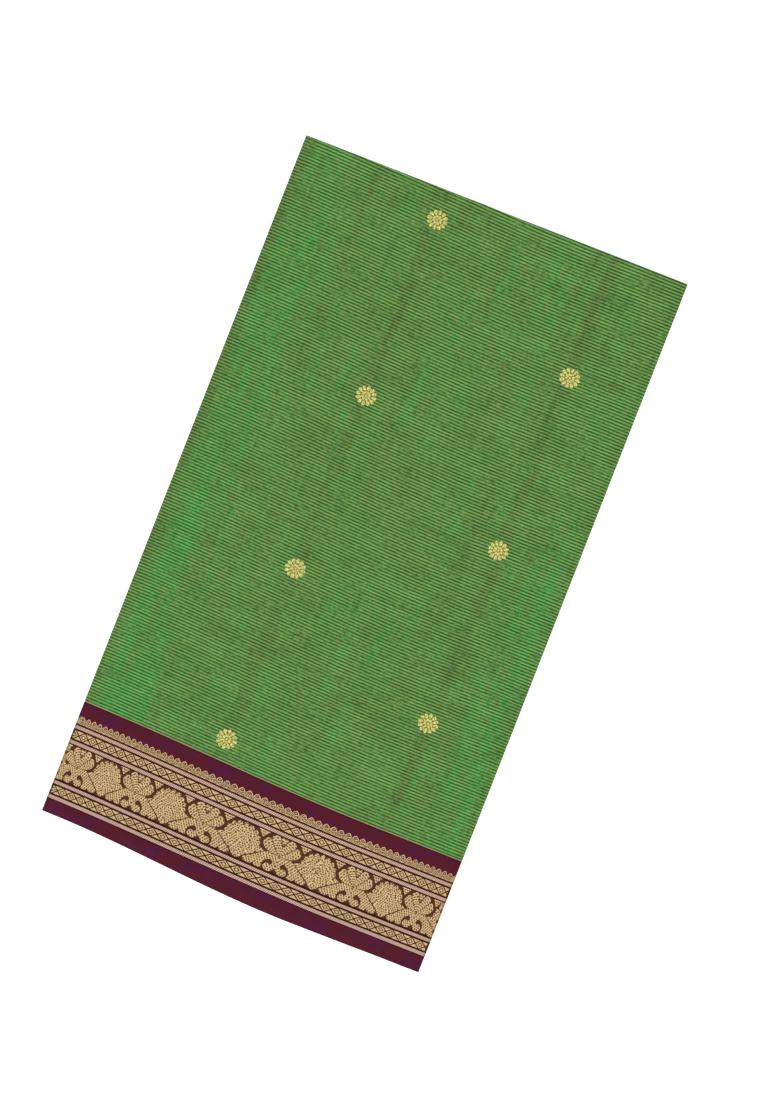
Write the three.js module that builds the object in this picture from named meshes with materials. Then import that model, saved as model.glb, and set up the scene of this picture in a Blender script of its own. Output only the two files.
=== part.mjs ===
import * as THREE from "three";

// A cotton sari folded for the shelf. The cloth is one piece. It is first doubled along its length,
// selvedge to selvedge, and the doubled strip is then laid back and forth in panels one packet wide.
// Its loose outer end is tucked in under the top panel, so both sides of the top are folds.
//
// Millimetres. X runs across the packet, Y up it from the selvedges to the crest, where the cloth
// is doubled, and Z is up. The origin is in the middle of the underside.

const PACKET_WIDTH = 340; // fold to fold
const LEFT_HEIGHT = 601.3; // crest to hem at the left fold
const HEM_DROP = 12; // how much further down the hem is where it hangs lowest
const HEM_DROP_ENDS = 50; // X where the hem has come down
const HEM_LIFT = 0.8; // the hem's small rise from there to the right fold
const CREST_LINE = (LEFT_HEIGHT + HEM_DROP) / 2; // Y of the straight crest
const DOUBLED = 1.0; // thickness of the doubled cloth, two plies and the air between them
const LAYER_GAP = 0.3; // between one panel and the next
const PITCH = DOUBLED + LAYER_GAP;

const SPLIT_DEPTH = 7; // how deep the two selvedges of a panel stand open
const SPLIT_MOUTH = 0.24; // and how wide
const CREST_ARC_POINTS = 3; // between the two faces of the crest's round edge
const FACE_ROWS = [0, 0.16, 0.34, 0.52, 0.7, 0.88, 1]; // shares of the height

const PANEL_SPANS = 7; // straight steps across a panel
const BEND_SPANS = 6; // steps round a fold
const TUCK_SHORT = 9; // how far the tucked end stops short of the fold behind it

// One row for each panel, in the order in which the cloth is laid: its level in the stack, and the
// fold that ends it, given by how far it lies in from the packet's side, hem and crest.
const PANELS = [
  { level: 0, sideIn: 1.1, hemIn: 1.6, crestIn: 1.5 },
  { level: 1, sideIn: 2.3, hemIn: 2.4, crestIn: 0.9 },
  { level: 2, sideIn: 1.9, hemIn: 1.2, crestIn: 2.2 },
  { level: 3, sideIn: 0.9, hemIn: 2.9, crestIn: 1.7 },
  { level: 4, sideIn: 0.7, hemIn: 2.0, crestIn: 0.8 },
  { level: 5, sideIn: 1.8, hemIn: 0.9, crestIn: 1.4 },
  { level: 6, sideIn: 2.5, hemIn: 1.9, crestIn: 2.4 },
  { level: 7, sideIn: 2.6, hemIn: 3.1, crestIn: 1.1 },
  { level: 8, sideIn: 1.2, hemIn: 2.2, crestIn: 0.6 },
  { level: 9, sideIn: 1.0, hemIn: 1.1, crestIn: 1.9 },
  { level: 10, sideIn: 1.7, hemIn: 2.6, crestIn: 1.3 },
  { level: 11, sideIn: 2.1, hemIn: 1.7, crestIn: 0.7 },
  { level: 12, sideIn: 0.8, hemIn: 0.8, crestIn: 1.6 },
  { level: 13, sideIn: 0, hemIn: 0, crestIn: 0 },
  { level: 15, sideIn: 0, hemIn: 0, crestIn: 0 },
  { level: 14, sideIn: TUCK_SHORT, hemIn: 1.8, crestIn: 1.2 },
];
const FIRST_END = { sideIn: 3.2, hemIn: 2.1, crestIn: 1.0 }; // the inner end, under the packet

// The slow unevenness of the packet's top, one row for each swell. Waves are in millimetres.
const SWELLS = [
  { rise: 0.5, acrossWave: 410, alongWave: 930, shift: 0.6 },
  { rise: 0.35, acrossWave: -230, alongWave: 520, shift: 2.1 },
  { rise: 0.2, acrossWave: 150, alongWave: -310, shift: 4.0 },
];

const topLevel = Math.max(...PANELS.map((panel) => panel.level));
const packetThickness = topLevel * PITCH + DOUBLED;
const levelHeight = (level) => DOUBLED / 2 + level * PITCH;

// The doubled strip seen end on: the split between the selvedges, the two faces, the round crest.
// Its first coordinate is the share of the height, and its second the distance from the middle.
function clothProfile() {
  const half = DOUBLED / 2;
  const outline = new THREE.Shape();
  const splitShare = SPLIT_DEPTH / LEFT_HEIGHT;
  outline.moveTo(splitShare, 0);
  outline.lineTo(0, -SPLIT_MOUTH / 2);
  for (const share of FACE_ROWS) outline.lineTo(share, -half);
  for (let point = 1; point <= CREST_ARC_POINTS; point++) {
    const turn = (Math.PI * point) / (CREST_ARC_POINTS + 1) - Math.PI / 2;
    outline.lineTo(1 + (half * Math.cos(turn)) / LEFT_HEIGHT, half * Math.sin(turn));
  }
  for (const share of [...FACE_ROWS].reverse()) outline.lineTo(share, half);
  outline.lineTo(0, SPLIT_MOUTH / 2);
  return outline;
}

// A stop on the way through the layers: its place and tangent in the XZ plane, and its insets.
const stop = (x, z, tangentX, tangentZ, hemIn, crestIn) => ({ x, z, tangentX, tangentZ, hemIn, crestIn });

function straightStops(from, to, z) {
  const direction = Math.sign(to.x - from.x);
  return Array.from({ length: PANEL_SPANS }, (_, step) => {
    const share = step / PANEL_SPANS;
    const hemIn = THREE.MathUtils.lerp(from.hemIn, to.hemIn, share);
    const crestIn = THREE.MathUtils.lerp(from.crestIn, to.crestIn, share);
    return stop(THREE.MathUtils.lerp(from.x, to.x, share), z, direction, 0, hemIn, crestIn);
  });
}

function bendStops(centreX, fromZ, toZ, side, fold) {
  const radius = Math.abs(toZ - fromZ) / 2;
  const turn = Math.sign(toZ - fromZ);
  return Array.from({ length: BEND_SPANS }, (_, step) => {
    const angle = (Math.PI * step) / BEND_SPANS - Math.PI / 2;
    const x = centreX + side * radius * Math.cos(angle);
    const z = (fromZ + toZ) / 2 + turn * radius * Math.sin(angle);
    return stop(x, z, -side * Math.sin(angle), turn * Math.cos(angle), fold.hemIn, fold.crestIn);
  });
}

// All the stops, from the inner end of the cloth to the tucked one.
function foldingPath() {
  const stops = [];
  let from = { x: FIRST_END.sideIn - PACKET_WIDTH / 2, ...FIRST_END };
  PANELS.forEach((panel, count) => {
    const side = count % 2 === 0 ? 1 : -1;
    const z = levelHeight(panel.level);
    const next = PANELS[count + 1];
    const bendRadius = next ? Math.abs(levelHeight(next.level) - z) / 2 : 0;
    const reach = PACKET_WIDTH / 2 - panel.sideIn - (next ? bendRadius + DOUBLED / 2 : 0);
    const to = { x: side * reach, hemIn: panel.hemIn, crestIn: panel.crestIn };
    stops.push(...straightStops(from, to, z));
    if (next) stops.push(...bendStops(to.x, z, levelHeight(next.level), side, panel));
    else stops.push(stop(to.x, z, side, 0, to.hemIn, to.crestIn));
    from = to;
  });
  return stops;
}

// The packet's height from crest to hem: the hem comes down in one soft sweep, then lifts a little.
function heightAt(x) {
  const down = THREE.MathUtils.smoothstep(x, -PACKET_WIDTH / 2, HEM_DROP_ENDS);
  const lift = THREE.MathUtils.smoothstep(x, HEM_DROP_ENDS, PACKET_WIDTH / 2);
  return LEFT_HEIGHT + HEM_DROP * down - HEM_LIFT * lift;
}

function swellAt(x, y) {
  const waves = SWELLS.map(({ rise, acrossWave, alongWave, shift }) => {
    return rise * Math.sin(2 * Math.PI * (x / acrossWave + y / alongWave) + shift);
  });
  return waves.reduce((sum, wave) => sum + wave, 0);
}

// The flat strip is extruded along its length, one step for each stop, and every point is then
// carried to its stop. The underside stays flat, and the swells grow towards the top.
function foldedCloth() {
  const stops = foldingPath();
  const lastStop = stops.length - 1;
  const geometry = new THREE.ExtrudeGeometry(clothProfile(), {
    depth: lastStop,
    steps: lastStop,
    bevelEnabled: false,
  });
  const points = geometry.getAttribute("position");
  for (let index = 0; index < points.count; index++) {
    const share = points.getX(index);
    const offset = points.getY(index);
    const at = stops[Math.round(points.getZ(index))];
    const x = at.x - offset * at.tangentZ;
    const z = at.z + offset * at.tangentX;
    const height = heightAt(x) - at.hemIn - at.crestIn;
    const y = CREST_LINE - at.crestIn - DOUBLED / 2 - (height - DOUBLED / 2) * (1 - share);
    points.setXYZ(index, x, y, z + (swellAt(x, y) * z) / packetThickness);
  }
  geometry.computeVertexNormals();
  return geometry;
}

const greenCotton = new THREE.MeshStandardMaterial({ color: 0x4f9040, roughness: 0.85, metalness: 0 });

const cloth = new THREE.Mesh(foldedCloth(), greenCotton);
cloth.name = "sari_cloth";

const foldedSari = new THREE.Group();
foldedSari.add(cloth);

export default foldedSari;
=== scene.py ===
"""A cotton sari folded for the shelf: green ribbed cloth with maroon and gold borders, doubled
along its length and laid back and forth into a flat packet."""

import math
from typing import NamedTuple

import bmesh
import bpy
from mathutils import Matrix, Vector


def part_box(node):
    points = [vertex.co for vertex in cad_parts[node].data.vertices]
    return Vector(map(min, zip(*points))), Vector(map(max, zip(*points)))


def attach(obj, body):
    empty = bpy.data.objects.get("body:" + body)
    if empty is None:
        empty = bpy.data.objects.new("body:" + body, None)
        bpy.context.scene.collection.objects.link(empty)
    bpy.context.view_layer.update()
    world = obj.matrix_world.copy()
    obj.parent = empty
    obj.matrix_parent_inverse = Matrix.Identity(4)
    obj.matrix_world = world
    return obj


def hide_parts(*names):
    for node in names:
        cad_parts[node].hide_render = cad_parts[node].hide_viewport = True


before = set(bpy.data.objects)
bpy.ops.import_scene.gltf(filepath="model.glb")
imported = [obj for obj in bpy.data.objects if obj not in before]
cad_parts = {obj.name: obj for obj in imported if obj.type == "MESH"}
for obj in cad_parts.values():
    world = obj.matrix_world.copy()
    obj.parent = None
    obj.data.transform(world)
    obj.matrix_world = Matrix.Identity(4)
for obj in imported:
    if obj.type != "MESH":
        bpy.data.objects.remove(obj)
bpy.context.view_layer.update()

bl_info = {
    "name": "Folded cotton sari",
    "version": (1, 0, 0),
    "blender": (4, 5, 0),
    "location": "View3D > Sidebar > Sari",
    "description": "Weaves, folds and lights a cotton sari with zari borders",
    "category": "Object",
}

BODY = "root"
NODE = "sari_cloth"

# Lengths below are in millimetres, and MM takes them to Blender's metres.
MM = 0.001
LOWEST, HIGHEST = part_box(NODE)
PACKET_WIDTH = (HIGHEST.x - LOWEST.x) / MM
CREST_LINE = HIGHEST.y / MM

# The packet's outline, as in the part: the hem comes down in one sweep and lifts a little again.
LEFT_HEIGHT = 601.3
HEM_DROP = 12
HEM_DROP_ENDS = 50
HEM_LIFT = 0.8

# The doubled cloth of the part's solid, and its panels.
DOUBLED = 1.0
LAYER_GAP = 0.3
PITCH = DOUBLED + LAYER_GAP
SKIN = 0.34  # room inside the solid's box for the outermost ply and its zari, above and below


class Fold(NamedTuple):
    """A panel of the zigzag: its level, and how far in its end fold, hem and crest lie."""

    level: int
    side_in: float
    hem_in: float
    crest_in: float


# The panels in the order in which the cloth is laid. The last one is tucked in under the top one
# and stops short of the fold behind it.
TUCK_SHORT = 9
PANELS = [
    Fold(0, 1.1, 1.6, 1.5),
    Fold(1, 2.3, 2.4, 0.9),
    Fold(2, 1.9, 1.2, 2.2),
    Fold(3, 0.9, 2.9, 1.7),
    Fold(4, 0.7, 2.0, 0.8),
    Fold(5, 1.8, 0.9, 1.4),
    Fold(6, 2.5, 1.9, 2.4),
    Fold(7, 2.6, 3.1, 1.1),
    Fold(8, 1.2, 2.2, 0.6),
    Fold(9, 1.0, 1.1, 1.9),
    Fold(10, 1.7, 2.6, 1.3),
    Fold(11, 2.1, 1.7, 0.7),
    Fold(12, 0.8, 0.8, 1.6),
    Fold(13, 0, 0, 0),
    Fold(15, 0, 0, 0),
    Fold(14, TUCK_SHORT, 1.8, 1.2),
]
FIRST_END = Fold(0, 3.2, 2.1, 1.0)
TOP_PANEL = 14
TOP_LEVEL = max(panel.level for panel in PANELS)
THICKNESS = TOP_LEVEL * PITCH + DOUBLED

# How finely the cloth is divided: along a panel, round a fold, across a ply and round the crest.
PANEL_SPANS = 22
BEND_SPANS = 8
PLY_ROWS = 26
CREST_TURN = 5


class Swell(NamedTuple):
    """One slow wave of the packet's top: how high it rises, how long it is and where it starts."""

    rise: float
    across_wave: float
    along_wave: float
    shift: float


SWELLS = [
    Swell(0.5, 410, 930, 0.6),
    Swell(0.35, -230, 520, 2.1),
    Swell(0.2, 150, -310, 4.0),
]

# The line where the green meets the maroon, as depths below the crest.
BORDER_DEPTH = 504.0
BORDER_DROP = 9.0
BORDER_DROP_STARTS = -195
BORDER_DROP_ENDS = 90
BORDER_SLOPE = 0.7 / 340

# Ribs across the green, finer towards the border: so many to the millimetre at the border, and
# fewer with the height above it.
RIBS_AT_BORDER = 1 / 2.54
RIBS_FALLING_OFF = 0.0000163
ROWS_PER_RIB = 4

# The border's bands, as distances below the line where the green ends.
TEETH = (12.4, 19.2)
STRIPES = [(20.7, 23.4), (33.6, 36.3), (69.7, 72.3), (82.0, 84.8)]
LATTICES = [(25.0, 32.0), (73.9, 80.4)]
FLOWERS = (37.3, 68.1)
FLOWER_BAND = FLOWERS[1] - FLOWERS[0]

# One repeat of the flower band as it is drawn, and how the repeats lie across the packet: wide in
# the middle and closer towards both folds.
REPEAT = 66.0
TEETH_PER_REPEAT = 10
LATTICE_PER_REPEAT = 6
REPEATS_CENTRE = 10.0
REPEATS_BEFORE_CENTRE = 2.75
REPEAT_MEAN = 59.9
REPEAT_STRETCH = 8.91
REPEAT_STRETCH_WAVE = 5.6
REPEATS = range(-1, 7)  # those drawn, with some to cut off at the folds

# The woven flowers stand in two columns that lean a little, with their threads floating behind.
BUTTI_COLUMNS = (-43.0, 108.0)
COLUMN_LEAN = 0.0125

# Centres of the woven flowers on the green: across, and down from the crest.
TOP_BUTTIS = [
    (-42.9, 26.2), (-44.8, 183.3), (-47.3, 338.1), (-48.6, 490.4),
    (107.2, 108.0), (104.0, 263.0), (102.1, 417.6),
]
UNDER_BUTTIS = [
    (-92.0, 98.0), (-92.6, 254.0), (-93.4, 409.0),
    (58.0, 20.5), (57.0, 176.0), (56.2, 331.0), (55.4, 485.0),
]
BUTTI_WIDTH = 17.9
BUTTI_HEIGHT = 16.8

# The photograph's frame, and where it looks.
PHOTO_HEIGHT_PX = 1108
MM_PER_PX = 0.8285
PACKET_TURN = math.radians(21.385)
PHOTO_CENTRE = (21.5, 8.4)

# The light: nearly even from all round, and a little more through a wide window.
SKY_STRENGTH = 0.72
WINDOW_STRENGTH = 1.2
WINDOW_WIDTH = math.radians(35)
WINDOW_SLANT = (math.radians(32), math.radians(-22), 0)
FLOOR_GLOW = 0.7


def srgb(red, green, blue):
    """A colour as a screen shows it, in 0 to 255, as the linear one that shaders use."""
    def linear(channel):
        share = channel / 255
        return share / 12.92 if share <= 0.04045 else ((share + 0.055) / 1.055) ** 2.4

    return linear(red), linear(green), linear(blue)


def smoothstep(value, start, end):
    share = min(max((value - start) / (end - start), 0.0), 1.0)
    return share * share * (3 - 2 * share)


def mix(first, second, share):
    return first + (second - first) * share


def height_at(x):
    down = smoothstep(x, -PACKET_WIDTH / 2, HEM_DROP_ENDS)
    lift = smoothstep(x, HEM_DROP_ENDS, PACKET_WIDTH / 2)
    return LEFT_HEIGHT + HEM_DROP * down - HEM_LIFT * lift


def border_line(x):
    """Y of the line where the green meets the maroon, on the top panel."""
    sweep = BORDER_DROP * smoothstep(x, BORDER_DROP_STARTS, BORDER_DROP_ENDS)
    return CREST_LINE - BORDER_DEPTH - sweep - BORDER_SLOPE * (x + PACKET_WIDTH / 2)


def swell_at(x, y):
    total = 0.0
    for swell in SWELLS:
        waves = x / swell.across_wave + y / swell.along_wave
        total += swell.rise * math.sin(math.tau * waves + swell.shift)
    return total


def lifted(x, y, z):
    """A height in the part's even stack, swollen as the part is and drawn in by the skin."""
    squeeze = 1 - 2 * SKIN / THICKNESS
    return SKIN + squeeze * z * (1 + swell_at(x, y) / THICKNESS)


def rib_count(height):
    """How many ribs lie between the border and a height above it."""
    return height * (RIBS_AT_BORDER - RIBS_FALLING_OFF * height)


def rib_height(count):
    """The height above the border that so many ribs reach."""
    root = math.sqrt(RIBS_AT_BORDER**2 - 4 * RIBS_FALLING_OFF * count)
    return (RIBS_AT_BORDER - root) / (2 * RIBS_FALLING_OFF)


def repeat_place(count):
    """X of a place on the border, counted in repeats from its first whole flower."""
    off = count - REPEATS_BEFORE_CENTRE
    stretch = REPEAT_STRETCH * math.sin(math.tau * off / REPEAT_STRETCH_WAVE)
    return REPEATS_CENTRE + REPEAT_MEAN * off + stretch


def repeat_at(x):
    """The reverse of repeat_place, by halving."""
    low, high = -2.0, 8.0
    for _ in range(40):
        middle = (low + high) / 2
        low, high = (middle, high) if repeat_place(middle) < x else (low, middle)
    return low


# Sizes and colours a user may change.


def length(name, description, default):
    return bpy.props.FloatProperty(
        name=name, description=description, default=default, min=0, unit="LENGTH", precision=5
    )


def paint(name, description, red, green, blue):
    return bpy.props.FloatVectorProperty(
        name=name, description=description, default=srgb(red, green, blue),
        size=3, min=0, max=1, subtype="COLOR",
    )


class SariSizes(bpy.types.PropertyGroup):
    """Small sizes of the cloth."""

    ply: length("Ply", "Thickness of one ply of the cotton", 0.36 * MM)
    ply_apart: length("Ply spacing", "Between the middles of a panel's two plies", 0.56 * MM)
    outer_ply: length("Outer ply", "Thickness of the ribbed ply that shows", 0.2 * MM)
    rib: length("Rib height", "How far a rib stands out", 0.11 * MM)
    zari: length("Zari height", "How far the gold stands out of the cloth", 0.12 * MM)
    unevenness: length("Unevenness", "How far the hidden hems and folds wander", 0.7 * MM)
    thread: length("Thread pitch", "Between the cotton's crosswise threads", 0.55 * MM)
    comb: length("Zari pitch", "Between rows of the gold thread", 2.1 * MM)


class SariColours(bpy.types.PropertyGroup):
    """Colours of the threads, with painted light on the rib tops and painted shade in the furrows.
    """

    # The rib and furrow colours are partly the threads' own and partly painted light and shade:
    # lighter on the tops, darker in the furrows.
    rib_top_lit: paint("Rib", "Top of a green rib", 122, 161, 92)
    furrow_shaded: paint("Furrow", "Between the green ribs", 42, 86, 20)
    fresh_rib_top_lit: paint("Fresh rib", "Rib where the green is purest", 106, 172, 94)
    fresh_furrow_shaded: paint("Fresh furrow", "Furrow where the green is purest", 30, 98, 30)
    brown_rib_top_lit: paint("Shot rib", "Rib where the brown weft shows", 116, 144, 84)
    brown_furrow_shaded: paint("Shot furrow", "Furrow where the brown weft shows", 44, 70, 20)
    cord: paint("Cord", "Thin line between green and maroon", 172, 146, 116)
    maroon: paint("Maroon", "Ground of the border", 84, 24, 38)
    purple: paint("Purple", "Where the maroon is bluer", 80, 22, 58)
    shade: paint("Shade", "Dark lines between the bands", 50, 20, 12)
    bronze: paint("Bronze", "Ground of the lattices", 58, 32, 16)
    wine: paint("Wine", "Ground of the flower band", 84, 47, 32)
    gold: paint("Gold", "Zari thread", 231, 197, 143)
    gold_shade: paint("Gold shade", "Between zari threads", 92, 58, 20)
    pink: paint("Rose gold", "Zari of the narrow stripes", 234, 196, 178)
    pink_shade: paint("Rose shade", "Between threads of the stripes", 120, 80, 64)
    butti: paint("Flower gold", "Thread of the small flowers", 246, 246, 152)
    butti_shade: paint("Flower shade", "Between threads of the small flowers", 134, 128, 46)
    butti_ground: paint("Flower ground", "Ground of the small flowers", 106, 98, 34)
    floor: paint("Floor", "Surface under the packet", 250, 250, 250)


# Shader maths.


def maths(operation):
    """A method of Signal: a maths node whose first value is the signal."""
    def method(self, *others):
        values = dict(enumerate((self, *others)))
        return self.recipe.node("Math", {"operation": operation}, values)

    return method


class Signal:
    """A shader socket that can stand in a sum."""

    def __init__(self, recipe, socket):
        self.recipe = recipe
        self.socket = socket

    __add__ = __radd__ = maths("ADD")
    __sub__ = maths("SUBTRACT")
    __mul__ = __rmul__ = maths("MULTIPLY")
    __truediv__ = maths("DIVIDE")
    __abs__ = maths("ABSOLUTE")
    at_most = maths("MINIMUM")
    at_least = maths("MAXIMUM")
    fraction = maths("FRACT")
    whole = maths("FLOOR")
    root = maths("SQRT")
    cosine = maths("COSINE")
    slope_angle = maths("ARCTAN2")

    def __neg__(self):
        return self * -1

    def __rsub__(self, other):
        return self.recipe.node("Math", {"operation": "SUBTRACT"}, {0: other, 1: self})

    def wave(self):
        """From 0 to 1 and back, once for each whole number."""
        return (self * math.tau).cosine() * 0.5 + 0.5

    def step(self, start, end, low=0.0, high=1.0):
        """Goes smoothly from low to high between start and end."""
        settings = {"interpolation_type": "SMOOTHSTEP"}
        inputs = {0: self, 1: start, 2: end, 3: low, 4: high}
        return self.recipe.node("MapRange", settings, inputs)

    def between(self, start, end, soft):
        return self.step(start - soft, start + soft) * (1 - self.step(end - soft, end + soft))


class Recipe:
    """A material's nodes."""

    def __init__(self, name):
        self.material = bpy.data.materials.new(name)
        self.material.use_nodes = True
        self.tree = self.material.node_tree
        self.surface = self.tree.nodes["Principled BSDF"]

    def node(self, kind, settings=None, inputs=None, output=0):
        node = self.tree.nodes.new("ShaderNode" + kind)
        for key, value in (settings or {}).items():
            setattr(node, key, value)
        for key, value in (inputs or {}).items():
            self.feed(node.inputs[key], value)
        return Signal(self, node.outputs[output])

    def feed(self, socket, value):
        if isinstance(value, Signal):
            self.tree.links.new(value.socket, socket)
        else:
            socket.default_value = value

    def parts(self, vector):
        split = self.tree.nodes.new("ShaderNodeSeparateXYZ")
        self.feed(split.inputs[0], vector)
        return [Signal(self, output) for output in split.outputs]

    def place(self):
        """X, Y and Z on the packet, in millimetres."""
        coordinates = self.node("TexCoord", output="Object")
        return [part / MM for part in self.parts(coordinates)]

    def weave(self):
        """Along the border and below the green, in millimetres."""
        uv = self.node("UVMap", {"uv_map": "weave"})
        along, below, _ = self.parts(uv)
        return along / MM, below / MM

    def noise(self, x, y, detail=2.0, roughness=0.5):
        """Noise from 0 to 1 whose features are about as large as one unit of x and y."""
        vector = self.node("CombineXYZ", {}, {0: x, 1: y})
        inputs = {"Vector": vector, "Scale": 1.0, "Detail": detail, "Roughness": roughness}
        return self.node("TexNoise", {}, inputs)

    def blend(self, factor, first, second):
        settings = {"data_type": "RGBA", "blend_type": "MIX"}
        inputs = {0: factor, 6: self.colour(first), 7: self.colour(second)}
        return self.node("Mix", settings, inputs, output=2)

    def dim(self, colour, factor):
        """A colour made lighter or darker."""
        grey = self.node("CombineXYZ", {}, {0: factor, 1: factor, 2: factor})
        return self.tint(colour, grey)

    def tint(self, colour, by):
        """A colour times another, channel by channel."""
        return self.node("VectorMath", {"operation": "MULTIPLY"}, {0: colour, 1: by})

    def colour(self, value):
        return value if isinstance(value, Signal) else (*value, 1.0)

    def bump(self, height, distance):
        return self.node("Bump", {}, {"Height": height, "Distance": distance})

    def finish(self, colour, roughness, normal=None, **constants):
        self.feed(self.surface.inputs["Base Color"], colour)
        self.feed(self.surface.inputs["Roughness"], roughness)
        if normal:
            self.feed(self.surface.inputs["Normal"], normal)
        for name, value in constants.items():
            self.surface.inputs[name.replace("_", " ")].default_value = value
        return self.material


def painted_gold(along, below):
    """Where gold shows on the hidden layers' edges: the border's bands in a simpler form."""
    teeth_at = (along / (REPEAT / TEETH_PER_REPEAT)).fraction() - 0.5
    tip = TEETH[0] + abs(teeth_at) * (TEETH[1] - TEETH[0])
    gold = (below - tip).step(-0.2, 0.2) * (1 - below.step(TEETH[1] - 0.2, TEETH[1] + 0.2))
    for start, end in STRIPES:
        gold = gold.at_least(below.between(start, end, 0.2))
    for start, end in LATTICES:
        cell = abs((along / (REPEAT / LATTICE_PER_REPEAT)).fraction() - 0.5) * 2
        reach = abs(below - (start + end) / 2) / ((end - start) / 2)
        crossed = (1 - abs(cell + reach - 1)).step(0.0, 0.4, 1.0, 0.0)
        gold = gold.at_least(crossed * below.between(start, end, 0.2))
    petal = (along / REPEAT * 2).wave() * (below / 9).wave()
    leaves = petal.step(0.75, 0.62) * below.between(FLOWERS[0], FLOWERS[1], 0.3)
    return gold.at_least(leaves)


def cotton(name, colours, sizes, painted):
    """The ground weave. It is painted with a plain form of the gold where no zari lies on it."""
    recipe = Recipe(name)
    x, y, z = recipe.place()
    along, below = recipe.weave()

    # The ribs, wavy and slubbed, from 0 in a furrow to 1 on a rib. The same share paints light on
    # the rib tops and shade in the furrows.
    ribs = rib_count(-below)
    wavy = ribs + (recipe.noise(x / 34, y / 26, 2.0) - 0.5) * 0.4

    fleck = recipe.noise(x / 4.5, ribs, 2.0)
    grain = recipe.noise(x / 0.9, ribs * 2.6, 1.0)
    slubs = recipe.noise((x + y) / 4.2, (x - y) / 1.1, 2.0)
    blurred = recipe.noise(x / 21 + 4.0, y / 11, 3.0).step(0.3, 0.7, 0.35, 1.3)
    lit_ridge = (wavy.wave() - 0.42) * blurred + 0.42
    flaws = (fleck - 0.5) * 0.7 + (grain - 0.5) * 0.4 + (slubs - 0.5) * 0.7
    lit_ridge = (lit_ridge + flaws).step(0.04, 0.9)

    # Where the brown weft shows, in streaks and beside the flowers' columns; the green is also
    # browner near the left fold, more so towards the crest.
    down = CREST_LINE - y
    leaning = x + down * COLUMN_LEAN
    fading = down.step(60, 420, 1.0, 0.45)
    ragged = recipe.noise(leaning / 3.0, y / 26 + 3.1, 2.0).step(0.3, 0.7, 0.5, 1.0)
    streaks = recipe.noise(leaning / 10, y / 170, 3.0, 0.6).step(0.5, 0.72) * fading
    behind = 0.0
    for column in BUTTI_COLUMNS:
        behind = (1 - abs(leaning - column).step(2.0, 9.0)).at_least(behind)
    from_fold = (PACKET_WIDTH / 2 - abs(x)).step(1.0, 15.0)
    fold_side = (1 - from_fold) * (-x).step(-20, 20) * down.step(150, 470, 0.85, 0.4)
    shot = (streaks * ragged * 0.62 + behind * ragged * 0.6 + fold_side * 0.8).at_most(1.0)

    # Where the green is purest: in patches, and more so low on both sides.
    left = (-x).step(95, 150, 0.0, 0.16) + down.step(400, 540, 0.0, 0.1) * (-x).step(-100, 100)
    right = x.step(115, 150, 0.0, 0.2) * down.step(180, 300)
    patches = recipe.noise(leaning / 12 + 9.0, y / 110 + 2.0, 4.0, 0.65)
    pure = (patches + left + right).step(0.46, 0.84) * from_fold

    # Painted light on the rib tops and painted shade in the furrows, over the threads' own green
    # and brown.
    light = recipe.blend(pure, colours.rib_top_lit, colours.fresh_rib_top_lit)
    dark = recipe.blend(pure, colours.furrow_shaded, colours.fresh_furrow_shaded)
    light = recipe.blend(shot, light, colours.brown_rib_top_lit)
    dark = recipe.blend(shot, dark, colours.brown_furrow_shaded)
    uneven = recipe.noise(x / 30 + 5.0, y / 22, 4.0, 0.6).step(0.25, 0.75, 0.9, 1.12)
    picks = recipe.noise(x / 160, ribs * 0.9 + 0.5, 1.0).step(0.25, 0.75, 0.93, 1.07)
    # Painted shade: the green is a little darker in the last few millimetres below the crest, where
    # the cloth turns under.
    crest_shade = down.step(0.5, 5.0, 0.96, 1.0)
    green = recipe.dim(recipe.blend(lit_ridge, dark, light), uneven * picks * crest_shade - shot * 0.03)
    tinge = recipe.noise(x / 7 + 2.0, y / 9, 3.0, 0.6).step(0.3, 0.7)
    shifted_green = recipe.tint(green, recipe.blend(tinge, (0.82, 1.02, 1.1), (1.16, 0.99, 0.86)))
    green = recipe.blend(0.45, green, shifted_green)

    # The maroon, the dark lines on it and the grounds of its bands.
    twill = ((x + y) / 1.25).wave() * 0.1 + recipe.noise(x / 1.4, y / 1.4, 2.0) * 0.3
    soft = recipe.noise(x / 14, y / 9, 3.0) * 0.3
    bluer = recipe.noise(x / 17 + 3.0, y / 11, 3.0).step(0.42, 0.68)
    maroon = recipe.blend(bluer, colours.maroon, colours.purple)
    lined = below.between(TEETH[1], STRIPES[3][1] + 1.0, 0.25)
    lined = lined.at_least(below.between(0.2, 1.3, 0.2))
    maroon = recipe.blend(lined, maroon, colours.shade)
    for start, end in (*LATTICES, (TEETH[0] + 3.2, TEETH[1])):
        maroon = recipe.blend(below.between(start, end, 0.15), maroon, colours.bronze)
    flower_ground = below.between(FLOWERS[0] + 0.3, FLOWERS[1] - 0.3, 0.2)
    maroon = recipe.blend(flower_ground, maroon, colours.wine)
    maroon = recipe.dim(maroon, twill + soft + 0.65)

    if painted:
        outside = z.step(SKIN + 0.9, SKIN + 1.1)
        gold = painted_gold(along, below) * outside
        thread = (along / 1.1).wave() * 0.4 + (below / 1.3).wave() * 0.4
        maroon = recipe.blend(gold, maroon, recipe.blend(thread, colours.gold_shade, colours.gold))

    # Both together, with a thin cord where the green ends, and the threads' relief.
    edge = below.step(-0.15, 0.35)
    cloth = recipe.blend(edge, green, maroon)
    cloth = recipe.blend(below.between(-0.55, 0.2, 0.12) * 0.85, cloth, colours.cord)

    threads = (x / (sizes.thread / MM)).wave() * lit_ridge * 0.25 + grain * 0.4
    plain = ((x + y) / 1.25).wave() * 0.2 + recipe.noise(x / 0.8, y / 0.8, 1.0) * 0.4
    relief = (1 - edge) * (threads + (ribs.wave() if painted else 0.0)) + edge * plain
    roughness = 0.82 + (grain - 0.5) * 0.12
    normal = recipe.bump(relief, 0.08 * MM)
    return recipe.finish(cloth, roughness, normal, Specular_IOR_Level=0.1)


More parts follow.
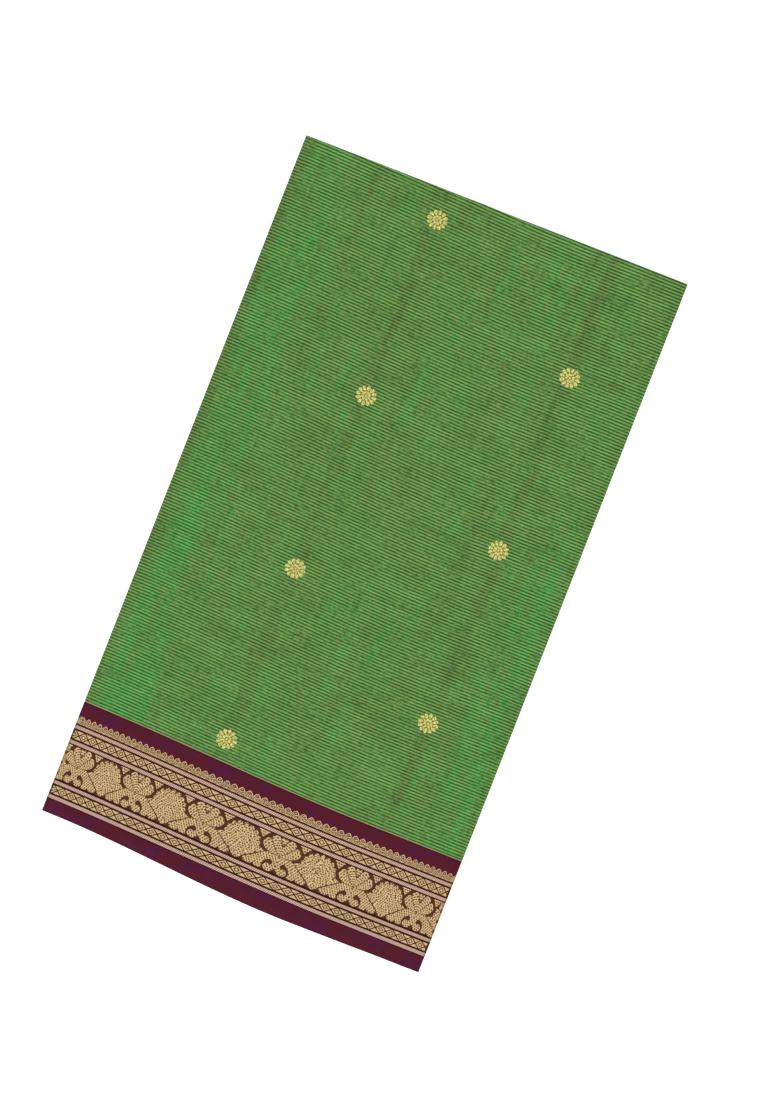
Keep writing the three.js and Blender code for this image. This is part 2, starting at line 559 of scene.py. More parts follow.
def zari(name, colours, sizes, rows):
    """Metal thread woven in. rows is how they run: plain, level, rings, netted or chevrons."""
    recipe = Recipe(name)
    along, below = recipe.weave()
    x, y, _ = recipe.place()
    height = FLOWERS[1] - below
    from_flower = ((along / REPEAT + 0.5).fraction() - 0.5) * REPEAT
    from_fan = ((along / REPEAT).fraction() - 0.5) * REPEAT
    pitch = sizes.comb / MM
    slant_across, slant_up = 0.82, 0.57
    if rows == "rings":
        up = height - FLOWER_CENTRE
        run = (from_flower * from_flower + up * up).root() / pitch
        stitch = up.slope_angle(from_flower) * 4.5
    elif rows == "netted":
        run = (abs(from_flower) * slant_across - height * slant_up) / pitch
        stitch = (abs(from_flower) * slant_up + height * slant_across) / pitch
    elif rows == "chevrons":
        run = (abs(from_fan) * slant_across + height * slant_up) / pitch
        stitch = (height * slant_across - abs(from_fan) * slant_up) / pitch
    else:
        run = below / pitch
        stitch = along / 2.2
    wander = 2.4 if rows == "chevrons" else 0.8
    run = run + (recipe.noise(x / 5, y / 5, 2.0) - 0.5) * wander
    brick = (stitch + run.whole() * 0.5).wave()
    speckle = recipe.noise(x / 1.3, y / 1.3, 2.0).step(0.3, 0.7)
    thread = run.wave() * 0.5 + brick * 0.36 + speckle * 0.34
    if rows == "plain":
        thread = speckle * 0.34 + 0.52
    worn = recipe.noise(x / 9, y / 9, 3.0).step(0.25, 0.75, 0.93, 1.05)
    colour = recipe.blend(thread.step(0.25, 0.9), colours.gold_shade, colours.gold)
    normal = recipe.bump(thread, 0.09 * MM)
    roughness = 0.56 - thread * 0.12
    colour = recipe.dim(colour, worn)
    return recipe.finish(colour, roughness, normal, Metallic=0.1, Specular_IOR_Level=0.25)


def rose(name, colours):
    """The narrow stripes: rose-gold thread in a steep twill."""
    recipe = Recipe(name)
    along, below = recipe.weave()
    x, y, _ = recipe.place()
    cord = (along / 1.7 + below / 2.9).wave() * 0.6 + recipe.noise(x / 0.9, y / 0.9, 1.0) * 0.5
    colour = recipe.blend(cord.step(0.1, 1.0), colours.pink_shade, colours.pink)
    normal = recipe.bump(cord, 0.08 * MM)
    return recipe.finish(colour, 0.58, normal, Metallic=0.1, Specular_IOR_Level=0.25)


def flower_thread(name, light, dark):
    """The small flowers: yellow-gold thread, speckled."""
    recipe = Recipe(name)
    x, y, _ = recipe.place()
    speckle = recipe.noise(x / 1.0, y / 1.4, 2.0, 0.7).step(0.34, 0.66)
    colour = recipe.blend(speckle, dark, light)
    return recipe.finish(colour, 0.6, recipe.bump(speckle, 0.08 * MM), Specular_IOR_Level=0.2)


# The cloth.


class Stop(NamedTuple):
    """A place on the way through the layers. Where calm is 1, the cloth doesn't wander."""

    x: float
    z: float
    tangent_x: float
    tangent_z: float
    hem_in: float
    crest_in: float
    calm: float
    fold: int
    along: float


def level_height(level):
    return DOUBLED / 2 + level * PITCH


def folding_path():
    """All the stops, from the inner end of the cloth to the tucked one, as in the part."""
    stops = []
    along = 0.0
    start = Vector((FIRST_END.side_in - PACKET_WIDTH / 2, FIRST_END.hem_in, FIRST_END.crest_in))
    for count, panel in enumerate(PANELS):
        side = 1 if count % 2 == 0 else -1
        z = level_height(panel.level)
        last = count == len(PANELS) - 1
        next_z = z if last else level_height(PANELS[count + 1].level)
        radius = abs(next_z - z) / 2
        reach = PACKET_WIDTH / 2 - panel.side_in - (0 if last else radius + DOUBLED / 2)
        end = Vector((side * reach, panel.hem_in, panel.crest_in))
        calm = 1.0 if count == TOP_PANEL else 0.0
        for step in range(PANEL_SPANS + (1 if last else 0)):
            share = step / PANEL_SPANS
            x, hem_in, crest_in = start.lerp(end, share)
            nearest = count if share > 0.5 else count - 1
            run = along + abs(end.x - start.x) * share
            stops.append(Stop(x, z, side, 0, hem_in, crest_in, calm, nearest, run))
        along += abs(end.x - start.x)
        turn = 1 if next_z > z else -1
        for step in range(0 if last else BEND_SPANS):
            share = step / BEND_SPANS
            angle = math.pi * share - math.pi / 2
            x = end.x + side * radius * math.cos(angle)
            bend_z = (z + next_z) / 2 + turn * radius * math.sin(angle)
            tangent = (-side * math.sin(angle), turn * math.cos(angle))
            shown = 1.0 if TOP_PANEL in (count, count + 1) else 0.0
            run = along + math.pi * radius * share
            stops.append(Stop(x, bend_z, *tangent, panel.hem_in, panel.crest_in, shown, count, run))
        along += math.pi * radius
        start = end
    return stops


class Row(NamedTuple):
    """A place across the doubled strip: its share of the way from the selvedge to the crest, how
    far it lies to one side of the strip's middle, and how far beyond the crest."""

    share: float
    offset: float
    beyond: float


def strip_rows(apart):
    """From one selvedge up the lower ply, round the crest, and down the upper ply."""
    shares = [(row / PLY_ROWS) ** 1.4 for row in range(PLY_ROWS + 1)]
    half = apart / 2
    rows = [Row(share, -half, 0) for share in shares]
    for count in range(1, CREST_TURN + 1):
        angle = math.pi * count / (CREST_TURN + 1) - math.pi / 2
        rows.append(Row(1, half * math.sin(angle), half * math.cos(angle)))
    rows += [Row(share, half, 0) for share in reversed(shares)]
    return rows


def folded_point(stop, row, crest, unevenness):
    """Where a point of the cloth lies in the packet, and how far below the green it is."""
    wild = unevenness * (1 - stop.calm)
    lower = row.offset < 0
    x = stop.x - row.offset * stop.tangent_z
    z = stop.z + row.offset * stop.tangent_x
    at_hem = (1 - row.share) ** 3
    wander = math.sin(stop.along / 41 + (1.3 if lower else 0)) + 0.6 * math.sin(stop.along / 17 + 2)
    hem = CREST_LINE - height_at(x) + stop.hem_in + wild * (wander * 0.5 + (0.8 if lower else 0))
    y = mix(hem, CREST_LINE - stop.crest_in - crest, row.share) + row.beyond
    z += wild * 0.16 * at_hem * math.sin(stop.along / 29 + (0 if lower else 2.2))
    near_fold = smoothstep(abs(x), 110, 165)
    x += wild * near_fold * math.copysign(1, x) * 0.6 * math.sin(y / 63 + 1.9 * stop.fold)
    below = border_line(x) + stop.hem_in - y
    return Vector((x, y, lifted(x, y, z))), below


def new_object(name, bm, material):
    mesh = bpy.data.meshes.new(name)
    bm.to_mesh(mesh)
    bm.free()
    mesh.materials.append(material)
    made = bpy.data.objects.new(name, mesh)
    bpy.context.scene.collection.objects.link(made)
    return made


def new_piece(name, bm, material):
    piece = new_object(name, bm, material)
    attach(piece, BODY)
    return piece


def smooth(bm):
    for face in bm.faces:
        face.smooth = True


def fold_cloth(sizes):
    """The whole doubled cloth, carried from a flat grid to its folds."""
    stops = folding_path()
    rows = strip_rows(sizes.ply_apart / MM)
    crest = (sizes.ply + sizes.ply_apart) / 2 / MM
    unevenness = sizes.unevenness / MM
    spans = len(stops) - 1
    lines = len(rows) - 1
    bm = bmesh.new()
    bmesh.ops.create_grid(bm, x_segments=spans, y_segments=lines, size=0.5)
    weave = bm.loops.layers.uv.new("weave")
    places = {}
    for vert in bm.verts:
        stop = stops[round((vert.co.x + 0.5) * spans)]
        row = rows[round((vert.co.y + 0.5) * lines)]
        place, below = folded_point(stop, row, crest, unevenness)
        places[vert] = (stop.along * MM, below * MM)
        vert.co = place * MM
    for face in bm.faces:
        for loop in face.loops:
            loop[weave].uv = places[loop.vert]
    smooth(bm)
    return bm, stops[-1].along


OUTER_FACE = 0.46  # from the middle of a panel to the outside of its ply
PLY_LIES = 0.21  # the ribbed ply's outer side, above the layers
GOLD_LIES = (0.16, 0.3)  # the zari's underside and top


def skin_height(face, x, y, above):
    """Z of a point some way out of the packet's top (face 1) or underside (face -1)."""
    if face > 0:
        return lifted(x, y, level_height(TOP_LEVEL) + OUTER_FACE) + above
    return lifted(x, y, level_height(0) - OUTER_FACE) - above


def cut_away(bm, point, outward):
    """Cuts off what lies beyond a plane."""
    geometry = bm.verts[:] + bm.edges[:] + bm.faces[:]
    bmesh.ops.bisect_plane(
        bm, geom=geometry, dist=1e-4, plane_co=point, plane_no=outward, clear_outer=True
    )


def thicken(bm, depth):
    """Gives flat shapes a thickness, down from where they are."""
    made = bmesh.ops.extrude_face_region(bm, geom=bm.faces[:])
    verts = [item for item in made["geom"] if isinstance(item, bmesh.types.BMVert)]
    bmesh.ops.translate(bm, verts=verts, vec=(0, 0, -depth))
    bmesh.ops.recalc_face_normals(bm, faces=bm.faces[:])


SHOW_EDGE = 168.2  # how far from the middle the zari reaches
PLY_EDGE = 168.9  # and the ribbed ply
CREST_INSET = 1.3  # from the ply's end to the crest
PLY_COLUMNS = 50
BORDER_ROWS = 14
RIBBED_HEIGHT = 516  # of the green, with some to cut off at the crest
SINK = 0.34  # how deep the ply's edges go down into the folds
SINK_WIDTH = 3.2


def ribbed_ply(face, sizes):
    """The ply that shows, rib by rib, its sides and crest going down into the folds."""
    ribs = math.ceil(rib_count(RIBBED_HEIGHT) * ROWS_PER_RIB)
    below_of = [-rib_height(row / ROWS_PER_RIB) for row in range(ribs, -1, -1)]
    lines = len(below_of) - 1 + BORDER_ROWS
    bm = bmesh.new()
    bmesh.ops.create_grid(bm, x_segments=PLY_COLUMNS, y_segments=lines, size=0.5)
    for vert in bm.verts:
        x = vert.co.x * 2 * PLY_EDGE
        line = round((0.5 - vert.co.y) * lines)
        hem = border_line(x) - (CREST_LINE - height_at(x))
        past = line - (len(below_of) - 1)
        below = below_of[line] if past <= 0 else hem * past / BORDER_ROWS
        vert.co = (x, border_line(x) - below, 0)
    cut_away(bm, (0, CREST_LINE - CREST_INSET, 0), (0, 1, 0))
    weave = bm.loops.layers.uv.new("weave")
    for polygon in bm.faces:
        for loop in polygon.loops:
            x, y, _ = loop.vert.co
            loop[weave].uv = (x * MM, (border_line(x) - y) * MM)
    relief = sizes.rib / MM
    for vert in bm.verts:
        x, y, _ = vert.co
        above = y - border_line(x)
        rib = 0.5 + 0.5 * math.cos(math.tau * rib_count(above)) if above > 0 else 0.5
        edge = min(PLY_EDGE - abs(x), CREST_LINE - CREST_INSET - y)
        sunk = SINK * (1 - smoothstep(edge, 0, SINK_WIDTH))
        vert.co.z = PLY_LIES + relief * (rib - 0.5) - sunk
    thicken(bm, sizes.outer_ply / MM)
    for vert in bm.verts:
        x, y, above = vert.co
        vert.co = Vector((x, y, skin_height(face, x, y, above))) * MM
    if face < 0:
        bmesh.ops.reverse_faces(bm, faces=bm.faces[:])
    smooth(bm)
    lay_bake_map(bm, face)
    return bm


# The strips of a ply's own map that its two sides get.
SHOWN_STRIP = (0.002, 0.982075)
BACK_STRIP = (0.985, 0.998)


def lay_bake_map(bm, face):
    """Gives the side that shows nearly the whole of the piece's map, and its back the rest."""
    chart = bm.loops.layers.uv.new("OFBake")
    for polygon in bm.faces:
        strip = SHOWN_STRIP if polygon.normal.z * face > 0.2 else BACK_STRIP
        for loop in polygon.loops:
            x, y, _ = loop.vert.co / MM
            share = 0.5 + 0.5 * y / (CREST_LINE + 1)
            loop[chart].uv = (0.5 + 0.99 * x / PACKET_WIDTH, mix(*strip, share))


# The zari, drawn flat on the nominal repeat and laid on the border.


def turned(root, along, across, angle):
    cosine, sine = math.cos(angle), math.sin(angle)
    return root[0] + along * cosine - across * sine, root[1] + along * sine + across * cosine


def drop(root, size, width, angle, points):
    """A petal's outline: pointed at its root and round at its far end."""
    def swelling(turn):
        return math.sin(turn) * abs(math.sin(turn / 2)) ** PETAL_SHARPNESS

    widest = max(swelling(math.pi * step / 60) for step in range(60))
    outline = []
    for step in range(points):
        turn = math.tau * step / points
        along = size * (1 - math.cos(turn)) / 2
        across = width / 2 / widest * swelling(turn)
        outline.append(turned(root, along, across, angle))
    return outline


def disc(centre, radius, points):
    return [turned(centre, radius, 0, math.tau * step / points) for step in range(points)]


def flowing(points, steps=3):
    """A smooth closed line through a few points."""
    outline = []
    count = len(points)
    for index in range(count):
        a, b, c, d = (Vector(points[(index + shift) % count]) for shift in (-1, 0, 1, 2))
        for step in range(steps):
            t = step / steps
            bend = (2 * a - 5 * b + 4 * c - d) * t**2 + (3 * b - a - 3 * c + d) * t**3
            outline.append(tuple((2 * b + (c - a) * t + bend) / 2))
    return outline


# Right halves of the border's motifs, charted in millimetres from the foot of the flower band.
FLOWER_CENTRE = 14.5
OUTER_PETAL = [
    (0.2, 15.3), (4.8, 15.2), (8.6, 15.8), (12.1, 17.0), (14.6, 19.1), (16.0, 21.9), (15.3, 24.6),
    (13.2, 26.2), (11.1, 26.2), (9.8, 24.8), (6.0, 20.3), (2.6, 16.7),
]
UPPER_PETAL = [
    (0.2, 16.2), (2.3, 17.1), (5.4, 20.6), (9.1, 24.9), (10.2, 27.4), (9.5, 29.5), (7.6, 30.6),
    (5.2, 30.6), (3.4, 29.2), (2.3, 26.4), (1.1, 24.2), (0.2, 22.3),
]
BUD = [(0.0, 24.6), (1.5, 26.6), (2.6, 29.0), (2.5, 30.6)]
LEAF = [
    (0.1, 14.7), (2.7, 14.7), (5.5, 14.8), (8.2, 15.2), (10.4, 15.2), (12.3, 14.0),
    (16.5, 11.0), (21.0, 7.8), (27.4, 3.3), (26.6, 2.2), (25.4, 0.4), (19.8, 0.4), (18.0, 3.0),
    (16.3, 0.4), (10.9, 0.4), (11.6, 3.2), (11.3, 5.4), (10.4, 7.2), (8.6, 9.0), (6.1, 10.4),
    (4.0, 9.5), (3.1, 7.6), (3.9, 6.2), (5.8, 5.9), (7.7, 6.3), (9.2, 5.1), (10.1, 3.5), (9.5, 1.9),
    (8.2, 0.8), (6.6, 0.3), (4.4, 0.3), (2.9, 1.0), (1.6, 2.6), (0.1, 4.2),
]
FAN_SHOULDER = [
    (14.4, 16.2), (16.2, 16.2), (18.4, 15.4), (20.6, 14.2), (19.4, 13.8), (12.0, 9.0), (5.3, 4.4),
    (3.0, 1.5), (1.6, 0.9),
]
FAN_LOBES = 9
FAN_HEAD = (13.2, 10.4)
FAN_HEAD_HEIGHT = 18.2
LOBE = 2.05
NOTCH = 1.3
HANGING_TRIANGLE = (4.7, 5.6)
TRIANGLE_PLACE = 17.7
TOOTH_BASE = 3.4

# The rings of nested shapes: how wide they are, and how wide the gap inside them.
DIAMOND_RING = (0.55, 0.5)
TOOTH_RING = (0.75, 0.75)
LATTICE_RING = (0.95, 0.7)
LATTICE_HALF = 4.6
CROSSING = (1.45, 0.75)  # the ground left where two diamonds meet, along the row and across it


def mirrored(outline):
    return [(-x, y) for x, y in reversed(outline)]


def shifted(outline, dx, dy):
    return [(x + dx, y + dy) for x, y in outline]


def whole(half):
    """Both sides of an outline of which only the right one is drawn."""
    return half + mirrored(half)


def flower_outlines():
    """Four petals and the bud between them."""
    petals = [flowing(OUTER_PETAL), flowing(UPPER_PETAL)]
    return petals + [mirrored(petal) for petal in petals] + [whole(BUD[1:]) + BUD[:1]]


def leaf_outlines():
    """The leaves, each with its half of the stem and the curl below it."""
    return [LEAF, mirrored(LEAF)]


def fan_outlines():
    """A lobed head on broad shoulders that run down to a point."""
    head = []
    for lobe in range(FAN_LOBES):
        out = math.pi * lobe / (FAN_LOBES - 1)
        if lobe:
            notch = math.pi * (lobe - 0.5) / (FAN_LOBES - 1)
            wide, high = (reach - NOTCH for reach in FAN_HEAD)
            head.append((wide * math.cos(notch), FAN_HEAD_HEIGHT + high * math.sin(notch)))
        middle = (FAN_HEAD[0] * math.cos(out), FAN_HEAD_HEIGHT + FAN_HEAD[1] * math.sin(out))
        for step in range(-3, 4):
            head.append(turned(middle, LOBE, 0, out + math.radians(step * 22)))
    return [head + mirrored(FAN_SHOULDER)[::-1] + [(0, 0.3)] + FAN_SHOULDER[::-1]]


def hanging_triangles():
    """Two small triangles between a flower and the fans beside it."""
    half, deep = HANGING_TRIANGLE
    top = FLOWER_BAND - 0.2
    triangle = [(-half, top), (0, top - deep), (half, top)]
    return [shifted(triangle, side * TRIANGLE_PLACE, 0) for side in (-1, 1)]


def tooth(half):
    """A small pointed scallop, its foot between two diamonds."""
    high = TEETH[1] - TEETH[0]
    shoulder = (0.7 * half, mix(TOOTH_BASE, high, 0.5))
    neck = (0.32 * half, mix(TOOTH_BASE, high, 0.86))
    side = [(half - 0.1, TOOTH_BASE + 0.4), shoulder, neck]
    return [(0, TOOTH_BASE / 2 + 0.6)] + side + [(0, high)] + mirrored(side)


def rhombus(x, y, half, high):
    return [(x + half, y), (x, y + high), (x - half, y), (x, y - high)]


def add_outline(bm, outline):
    polygon = bm.faces.new([bm.verts.new((x, y, 0)) for x, y in outline])
    polygon.normal_update()
    return polygon


def nest(bm, polygon, ring):
    """Leaves a ring of a shape and, past a gap, its middle."""
    wide, gap = ring
    bmesh.ops.inset_individual(bm, faces=[polygon], thickness=wide, use_even_offset=True)
    made = bmesh.ops.inset_individual(bm, faces=[polygon], thickness=gap, use_even_offset=True)
    bmesh.ops.delete(bm, geom=made["faces"], context="FACES")


def on_border(x, y):
    """From the flat drawing to the border on the packet."""
    across = repeat_place(x / REPEAT)
    return across, border_line(across) + y


BACKS = 0.02  # share of a piece's own map that its hidden back gets
CELL_MARGIN = 5.5  # how far a motif may stand out of its repeat


def chart_border(bm, lay):
    """Gives each repeat of each band a cell of the piece's own map."""
    chart = bm.loops.layers.uv.new("OFBake")
    bands, columns, centred = lay.bands, lay.columns, lay.centred
    rows = math.ceil(len(REPEATS) * len(bands) / columns)
    wide = REPEAT + 2 * CELL_MARGIN
    for polygon in bm.faces:
        middle = polygon.calc_center_bounds()
        band = min(range(len(bands)), key=lambda index: abs(sum(bands[index]) / 2 + middle.y))
        count = min(max(round(middle.x / REPEAT - centred), REPEATS[0]), REPEATS[-1])
        cell = REPEATS.index(count) + len(REPEATS) * band
        corner = ((count + centred - 0.5) * REPEAT - CELL_MARGIN, -bands[band][1] - 0.4)
        high = bands[band][1] - bands[band][0] + 0.8
        for loop in polygon.loops:
            across = cell % columns + (loop.vert.co.x - corner[0]) / wide
            up = cell // columns + (loop.vert.co.y - corner[1]) / high
            loop[chart].uv = (across / columns, up / rows * (1 - BACKS))


def chart_buttis(bm):
    """Gives each small flower a cell of the piece's own map."""
    chart = bm.loops.layers.uv.new("OFBake")
    columns, wide = 3, 2.1
    for polygon in bm.faces:
        count = round(polygon.calc_center_bounds().x / BUTTI_CELL)
        for loop in polygon.loops:
            across = count % columns + (loop.vert.co.x - count * BUTTI_CELL) / wide + 0.5
            up = count // columns + loop.vert.co.y / wide + 0.5
            loop[chart].uv = (across / columns, up / columns * (1 - BACKS))


def trim_at_folds(bm):
    """Cuts the border's flat shapes off where the cloth goes down into its folds."""
    for side in (-1, 1):
        cut_away(bm, (repeat_at(side * SHOW_EDGE) * REPEAT, 0, 0), (side, 0, 0))


def weave_in(bm, face, place=on_border):
    """Gives flat shapes a thickness and lays them on the cloth."""
    weave = bm.loops.layers.uv.new("weave")
    for polygon in bm.faces:
        for loop in polygon.loops:
            loop[weave].uv = (loop.vert.co.x * MM, -loop.vert.co.y * MM)
    bmesh.ops.triangulate(bm, faces=[polygon for polygon in bm.faces if len(polygon.verts) > 4])
    bmesh.ops.translate(bm, verts=bm.verts[:], vec=(0, 0, 1))
    thicken(bm, 1)
    chart = bm.loops.layers.uv["OFBake"]
    for polygon in bm.faces:
        if polygon.normal.z < -0.5:
            for loop in polygon.loops:
                loop[chart].uv.y = 1 - BACKS * (0.9 - 0.8 * loop[chart].uv.y)
    for vert in bm.verts:
        x, y = place(vert.co.x, vert.co.y)
        above = mix(*GOLD_LIES, vert.co.z)
        vert.co = Vector((x, y, skin_height(face, x, y, above))) * MM
    if face < 0:
        bmesh.ops.reverse_faces(bm, faces=bm.faces[:])
    return bm


def in_each_repeat(outlines, centred=0.0):
    """What draws a motif of the flower band, once in each repeat."""
    def draw(bm):
        for count in REPEATS:
            for outline in outlines():
                add_outline(bm, shifted(outline, (count + centred) * REPEAT, -FLOWERS[1]))

    return draw


def draw_teeth(bm):
    """Scallops standing between small diamonds."""
    half = REPEAT / TEETH_PER_REPEAT / 2
    between = [(0.5 - half, 0), (half - 0.5, 0), (0, TOOTH_BASE / 2 - 0.5)]
    for count in range(TEETH_PER_REPEAT * REPEATS.start, TEETH_PER_REPEAT * REPEATS.stop):
        x = count * 2 * half
        diamond = rhombus(x + half, TOOTH_BASE / 2 - TEETH[1], half - 0.1, TOOTH_BASE / 2)
        nest(bm, add_outline(bm, diamond), DIAMOND_RING)
        nest(bm, add_outline(bm, shifted(tooth(half), x, -TEETH[1])), TOOTH_RING)
        add_outline(bm, shifted(between, x, -TEETH[1]))


def draw_lattice(bm):
    """Nested diamonds in a row, and small triangles above and below where they meet."""
    pitch = REPEAT / LATTICE_PER_REPEAT
    base = pitch / 2 - CROSSING[0]
    for start, end in LATTICES:
        middle = -(start + end) / 2
        half = (end - start) / 2 - 0.1
        for count in range(LATTICE_PER_REPEAT * REPEATS.start, LATTICE_PER_REPEAT * REPEATS.stop):
            x = (count + 0.5) * pitch
            nest(bm, add_outline(bm, rhombus(x, middle, LATTICE_HALF, half)), LATTICE_RING)
            between = x + pitch / 2
            for way in (1, -1):
                rim = middle + way * (half + 0.1)
                tip = middle + way * CROSSING[1]
                triangle = [(between - base, rim), (between + base, rim), (between, tip)]
                add_outline(bm, triangle[::-way])


def draw_stripes(bm):
    spans = 120
    first, last = repeat_at(-SHOW_EDGE - 1) * REPEAT, repeat_at(SHOW_EDGE + 1) * REPEAT
    for start, end in STRIPES:
        middle = Vector(((first + last) / 2, -(start + end) / 2, 0))
        fit = Matrix.Translation(middle) @ Matrix.Diagonal((last - first, end - start, 1, 1))
        bmesh.ops.create_grid(bm, x_segments=spans, y_segments=1, size=0.5, matrix=fit)


class Lay(NamedTuple):
    """One kind of zari on the border: what draws it, where it lies and how its thread runs."""

    name: str
    draw: object
    bands: list
    rows: str = "plain"
    columns: int = 1
    centred: float = 0.0


STRIPE_ZARI = Lay("stripes", draw_stripes, STRIPES)
BORDER_ZARI = [
    Lay("teeth", draw_teeth, [TEETH]),
    Lay("lattice", draw_lattice, LATTICES),
    Lay("flowers", in_each_repeat(flower_outlines), [FLOWERS], "rings", 2),
    Lay("leaves", in_each_repeat(leaf_outlines), [FLOWERS], "netted", 2),
    Lay("fans", in_each_repeat(fan_outlines, 0.5), [FLOWERS], "chevrons", 2, 0.5),
    Lay("fillers", in_each_repeat(hanging_triangles), [FLOWERS], "level", 2),
]
FACES = {"top": 1, "under": -1}


def lay_zari(lay, material):
    """One kind of zari, on the packet's top and on its underside."""
    for side, face in FACES.items():
        bm = bmesh.new()
        lay.draw(bm)
        chart_border(bm, lay)
        trim_at_folds(bm)
        new_piece(f"zari_{side}_{lay.name}", weave_in(bm, face), material)


class PetalRing(NamedTuple):
    """A ring of a small flower's petals, in shares of the flower's radius."""

    count: int
    twist: float
    root: float
    long: float
    wide: float
    points: int


OUTER_RING = PetalRing(12, 0, 0.46, 0.54, 0.34, 12)
INNER_RING = PetalRing(8, 0.5, 0.16, 0.32, 0.27, 10)
PETAL_SHARPNESS = 0.7
EYE = 0.12
GROUND_REACH = 0.86
GROUND_SCALLOP = 0.1
BUTTI_CELL = 10


def butti_outlines():
    """A round flower: a ring of petals, a smaller ring inside it and an eye."""
    outlines = [disc((0, 0), EYE, 8)]
    for ring in (OUTER_RING, INNER_RING):
        for count in range(ring.count):
            turn = math.tau * (count + ring.twist) / ring.count
            root = turned((0, 0), ring.root, 0, turn)
            outlines.append(drop(root, ring.long, ring.wide, turn, ring.points))
    return outlines


def scalloped_outline():
    """The ground under a small flower, with a scallop for each outer petal."""
    points = OUTER_RING.count * 6
    outline = []
    for step in range(points):
        scallop = abs(math.cos(math.pi * OUTER_RING.count * step / points))
        reach = GROUND_REACH + GROUND_SCALLOP * scallop
        outline.append(turned((0, 0), reach, 0, math.tau * step / points))
    return outline


def butti_place(centres):
    """From a drawing whose flowers stand in a row, one unit in radius, to the packet."""
    def place(x, y):
        index = round(x / BUTTI_CELL)
        across, down = centres[index]
        from_centre = x - index * BUTTI_CELL
        return across + from_centre * BUTTI_WIDTH / 2, CREST_LINE - down + y * BUTTI_HEIGHT / 2

    return place


# Operators.


class SariOperator(bpy.types.Operator):
    """What the sari's operators share."""

    bl_options = {"REGISTER", "UNDO"}

    def settings(self, context):
        return context.scene.sari_sizes, context.scene.sari_colours


class SARI_OT_stage(SariOperator):
    """Sets the camera over the packet, the pale floor and the soft lights"""

    bl_idname = "sari.stage"
    bl_label = "Stage"

    def execute(self, context):
        _, colours = self.settings(context)
        scene = context.scene
        scene.view_settings.view_transform = "Standard"
        lens, sensor = 100.0, 36.0
        distance = PHOTO_HEIGHT_PX * MM_PER_PX * MM * lens / sensor
        data = bpy.data.cameras.new("camera")
        data.lens = lens
        data.sensor_width = sensor
        data.clip_end = 30
        camera = bpy.data.objects.new("camera", data)
        camera.location = (PHOTO_CENTRE[0] * MM, PHOTO_CENTRE[1] * MM, HIGHEST.z + distance)
        camera.rotation_euler = (0, 0, PACKET_TURN)
        scene.collection.objects.link(camera)
        scene.camera = camera

        bm = bmesh.new()
        bmesh.ops.create_grid(bm, x_segments=1, y_segments=1, size=6)
        bmesh.ops.translate(bm, verts=bm.verts[:], vec=(0, 0, -0.2 * MM))
        recipe = Recipe("floor")
        white = recipe.colour(colours.floor)
        recipe.surface.inputs["Emission Color"].default_value = white
        paper = recipe.finish(white, 0.9, Specular_IOR_Level=0.0, Emission_Strength=FLOOR_GLOW)
        floor = new_object("floor", bm, paper)

        world = bpy.data.worlds.new("studio")
        world.use_nodes = True
        sky = world.node_tree.nodes["Background"]
        sky.inputs["Color"].default_value = (1, 1, 1, 1)
        sky.inputs["Strength"].default_value = SKY_STRENGTH
        scene.world = world
        sun = bpy.data.lights.new("window", "SUN")
        sun.energy = WINDOW_STRENGTH
        sun.angle = WINDOW_WIDTH
        lamp = bpy.data.objects.new("window", sun)
        lamp.rotation_euler = WINDOW_SLANT
        scene.collection.objects.link(lamp)
        return {"FINISHED"}


class SARI_OT_cloth(SariOperator):
    """Folds the doubled cloth back and forth into the packet"""

    bl_idname = "sari.cloth"
    bl_label = "Folded cloth"

    def execute(self, context):
        sizes, colours = self.settings(context)
        bm, long = fold_cloth(sizes)
        material = cotton("folded cotton", colours, sizes, True)
        piece = new_piece("sari_folds", bm, material)
        shell = piece.modifiers.new("ply", "SOLIDIFY")
        shell.thickness = sizes.ply
        shell.offset = 0
        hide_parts(NODE)
        piece["flat_length"] = long * MM
        return {"FINISHED"}


class SARI_OT_outer_plies(SariOperator):
    """Lays the ribbed ply that shows on the packet's top and underside"""

    bl_idname = "sari.outer_plies"
    bl_label = "Outer plies"

    def execute(self, context):
        sizes, colours = self.settings(context)
        material = cotton("ribbed cotton", colours, sizes, False)
        for side, face in FACES.items():
            new_piece(f"sari_{side}_ply", ribbed_ply(face, sizes), material)
        return {"FINISHED"}


class SARI_OT_stripes(SariOperator):
    """Weaves the four rose-gold stripes into the borders"""

    bl_idname = "sari.stripes"
    bl_label = "Border stripes"

    def execute(self, context):
        _, colours = self.settings(context)
        lay_zari(STRIPE_ZARI, rose("rose zari", colours))
        return {"FINISHED"}


class SARI_OT_border(SariOperator):
    """Weaves the teeth, lattices, flowers, leaves and fans into the borders"""

    bl_idname = "sari.border"
    bl_label = "Border motifs"

    def execute(self, context):
        sizes, colours = self.settings(context)
        for lay in BORDER_ZARI:
            lay_zari(lay, zari(f"zari {lay.name}", colours, sizes, lay.rows))
        return {"FINISHED"}


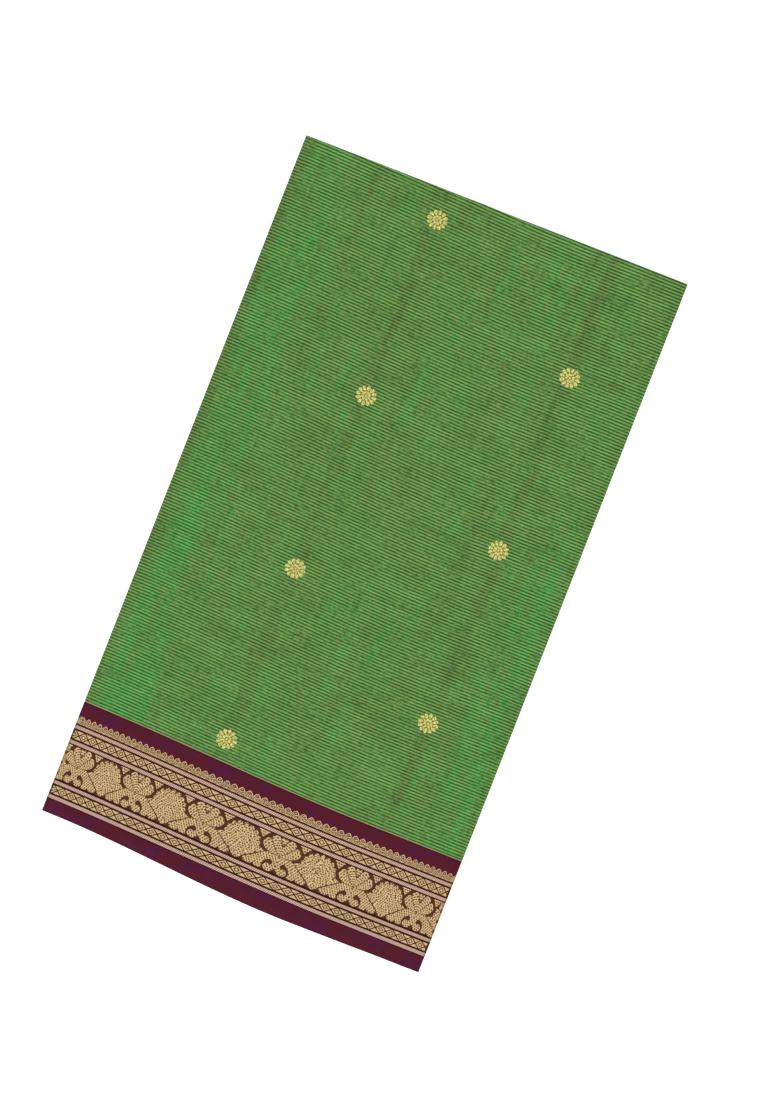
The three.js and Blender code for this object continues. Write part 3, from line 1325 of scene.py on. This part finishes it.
class SARI_OT_buttis(SariOperator):
    """Weaves the small round flowers into the green"""

    bl_idname = "sari.buttis"
    bl_label = "Small flowers"

    def execute(self, context):
        _, colours = self.settings(context)
        petal = flower_thread("flower petals", colours.butti, colours.butti_shade)
        ground = flower_thread("flower ground", colours.butti_shade, colours.butti_ground)
        parts = (
            ("petals", butti_outlines(), petal, 0),
            ("grounds", [scalloped_outline()], ground, 0.04 * MM),
        )
        for side, centres in (("top", TOP_BUTTIS), ("under", UNDER_BUTTIS)):
            for part, outlines, material, sunk in parts:
                bm = bmesh.new()
                for index in range(len(centres)):
                    for outline in outlines:
                        add_outline(bm, shifted(outline, index * BUTTI_CELL, 0))
                chart_buttis(bm)
                weave_in(bm, FACES[side], butti_place(centres))
                bmesh.ops.translate(bm, verts=bm.verts[:], vec=(0, 0, -sunk * FACES[side]))
                new_piece(f"butti_{side}_{part}", bm, material)
        return {"FINISHED"}


class SARI_PT_panel(bpy.types.Panel):
    """Lists the sari's operators, sizes and colours"""

    bl_label = "Folded sari"
    bl_space_type = "VIEW_3D"
    bl_region_type = "UI"
    bl_category = "Sari"

    def draw(self, context):
        for operator in STEPS:
            self.layout.operator(operator.bl_idname)
        for group in (context.scene.sari_sizes, context.scene.sari_colours):
            for name in group.bl_rna.properties.keys():
                if name not in ("rna_type", "name"):
                    self.layout.prop(group, name)


STEPS = [
    SARI_OT_stage,
    SARI_OT_cloth,
    SARI_OT_outer_plies,
    SARI_OT_stripes,
    SARI_OT_border,
    SARI_OT_buttis,
]
CLASSES = [SariSizes, SariColours, *STEPS, SARI_PT_panel]


def register():
    for cls in CLASSES:
        bpy.utils.register_class(cls)
    bpy.types.Scene.sari_sizes = bpy.props.PointerProperty(type=SariSizes)
    bpy.types.Scene.sari_colours = bpy.props.PointerProperty(type=SariColours)


def unregister():
    del bpy.types.Scene.sari_colours
    del bpy.types.Scene.sari_sizes
    for cls in reversed(CLASSES):
        bpy.utils.unregister_class(cls)


def main():
    register()
    bpy.ops.sari.stage()
    bpy.ops.sari.cloth()
    bpy.ops.sari.outer_plies()
    bpy.ops.sari.stripes()
    bpy.ops.sari.border()
    bpy.ops.sari.buttis()


if __name__ == "__main__":
    main()
